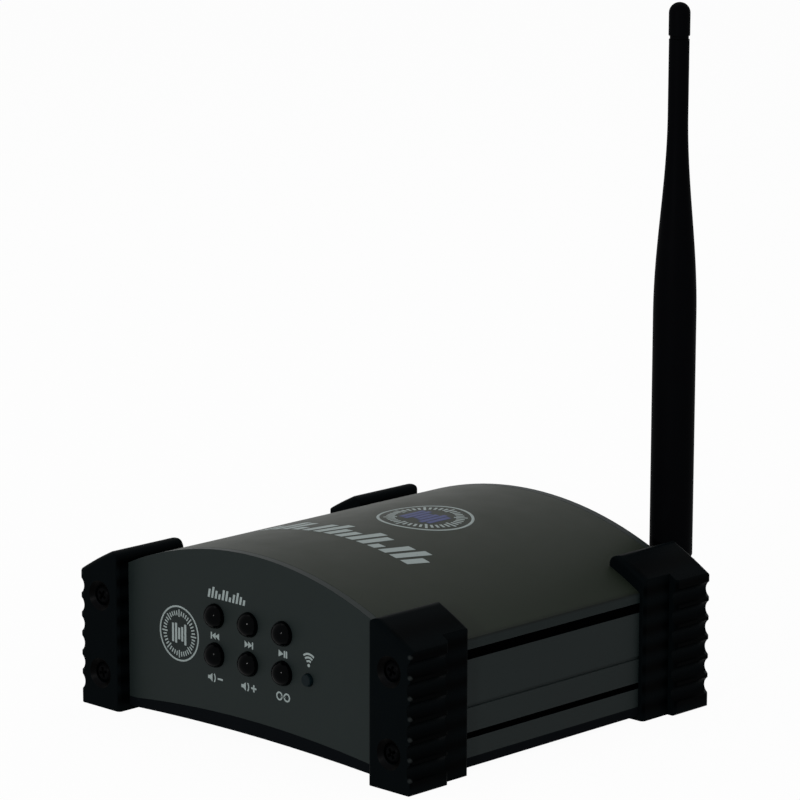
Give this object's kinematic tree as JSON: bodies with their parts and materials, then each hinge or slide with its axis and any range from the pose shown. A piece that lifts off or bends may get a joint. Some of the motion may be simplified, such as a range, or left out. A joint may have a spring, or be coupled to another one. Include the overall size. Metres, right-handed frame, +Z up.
{
  "type": "bluetooth audio receiver",
  "caption": "Arched metal desk-top wireless audio receiver with rubber corner bumpers, push buttons, rear sockets and a folding whip antenna.",
  "frame": {"origin": "on the table, under the middle of the bounding box", "axes": "+Z up, front panel towards -Y, +X to the viewer's right when facing the front"},
  "size_m": [0.1404, 0.1514, 0.2131],
  "materials": {
    "cover_paint": "satin, fine texture",
    "panel_paint": "satin, fine texture",
    "rail_paint": "satin",
    "base_paint": "satin black",
    "bumper_rubber": "satin moulded",
    "black_steel": "black oxide",
    "bright_steel": "zinc plated",
    "board_green": "solder mask",
    "board_blue": "solder mask",
    "winding": "wound wire and core",
    "capacitor_sleeve": "sleeve",
    "chip_black": "moulded",
    "heatsink": "extruded",
    "shield_tin": "tinned",
    "brass": "turned",
    "gold_brass": "gold plated",
    "switch_black": "moulded",
    "ribbon_grey": "ribbon",
    "header_cream": "moulded",
    "lamp_lens": "clear tinted",
    "button_black": "polished",
    "plunger_tan": "moulded",
    "socket_metal": "black plated die casting",
    "insert_black": "moulded",
    "contact_silver": "silver plated",
    "cable_black": "sheath",
    "antenna_black": "satin",
    "copper": "drawn wire"
  },
  "bodies": {
    "housing": {"base_plate": "base_paint", "side_rail_left": "rail_paint", "side_rail_right": "rail_paint", "top_cover": "cover_paint", "front_panel": "panel_paint", "rear_panel": "panel_paint", "bumper_front_left": "bumper_rubber", "bumper_front_right": "bumper_rubber", "bumper_rear_left": "bumper_rubber", "bumper_rear_right": "bumper_rubber", "bumper_screws": "black_steel", "base_screws": "black_steel", "main_board": "board_green", "line_transformers": "winding", "capacitors": "capacitor_sleeve", "audio_chips": "chip_black", "regulator": "heatsink", "radio_board": "board_blue", "radio_shield": "shield_tin", "button_board": "board_green", "board_posts": "brass", "board_screws": "bright_steel", "tact_switches": "switch_black", "link_cable": "ribbon_grey", "link_headers": "header_cream", "status_lamp": "lamp_lens", "socket_shell_left": "socket_metal", "socket_shell_right": "socket_metal", "socket_insert_left": "insert_black", "socket_insert_right": "insert_black", "socket_pins_left": "contact_silver", "socket_pins_right": "contact_silver", "socket_screws": "black_steel", "power_inlet": "switch_black", "power_inlet_pin": "contact_silver", "power_switch": "bright_steel", "antenna_socket": "gold_brass", "antenna_nut": "gold_brass", "antenna_washer": "bright_steel", "antenna_lead": "cable_black", "antenna_sleeve": "antenna_black"},
    "previous_key": {"previous_button": "button_black", "previous_plunger": "plunger_tan"},
    "next_key": {"next_button": "button_black", "next_plunger": "plunger_tan"},
    "play_key": {"play_button": "button_black", "play_plunger": "plunger_tan"},
    "volume_down_key": {"volume_down_button": "button_black", "volume_down_plunger": "plunger_tan"},
    "volume_up_key": {"volume_up_button": "button_black", "volume_up_plunger": "plunger_tan"},
    "pair_key": {"pair_button": "button_black", "pair_plunger": "plunger_tan"},
    "power_knob": {"power_switch_knob": "switch_black"},
    "swivel": {"antenna_swivel": "antenna_black"},
    "whip": {"antenna_hinge_pin": "bright_steel", "antenna_whip": "antenna_black", "antenna_core": "copper", "antenna_cap": "antenna_black"}
  },
  "joints": [
    {"name": "previous_press", "type": "slide", "parent": "housing", "child": "previous_key", "axis": [0, 1, 0], "range_m": [0, 0.0008], "stiffness_N_per_m": 800, "springref_m": -0.0008},
    {"name": "next_press", "type": "slide", "parent": "housing", "child": "next_key", "axis": [0, 1, 0], "range_m": [0, 0.0008], "stiffness_N_per_m": 800, "springref_m": -0.0008},
    {"name": "play_press", "type": "slide", "parent": "housing", "child": "play_key", "axis": [0, 1, 0], "range_m": [0, 0.0008], "stiffness_N_per_m": 800, "springref_m": -0.0008},
    {"name": "volume_down_press", "type": "slide", "parent": "housing", "child": "volume_down_key", "axis": [0, 1, 0], "range_m": [0, 0.0008], "stiffness_N_per_m": 800, "springref_m": -0.0008},
    {"name": "volume_up_press", "type": "slide", "parent": "housing", "child": "volume_up_key", "axis": [0, 1, 0], "range_m": [0, 0.0008], "stiffness_N_per_m": 800, "springref_m": -0.0008},
    {"name": "pair_press", "type": "slide", "parent": "housing", "child": "pair_key", "axis": [0, 1, 0], "range_m": [0, 0.0008], "stiffness_N_per_m": 800, "springref_m": -0.0008},
    {"name": "power_slide", "type": "slide", "parent": "housing", "child": "power_knob", "axis": [1, 0, 0], "range_m": [0, 0.003]},
    {"name": "antenna_turn", "type": "hinge", "parent": "housing", "child": "swivel", "pos_m": [0.043, 0.0638, 0.034], "axis": [0, 1, 0], "range_deg": [-90, 90]},
    {"name": "antenna_tilt", "type": "hinge", "parent": "swivel", "child": "whip", "pos_m": [0.043, 0.069, 0.034], "axis": [-1, 0, 0], "range_deg": [0, 90]}
  ]
}
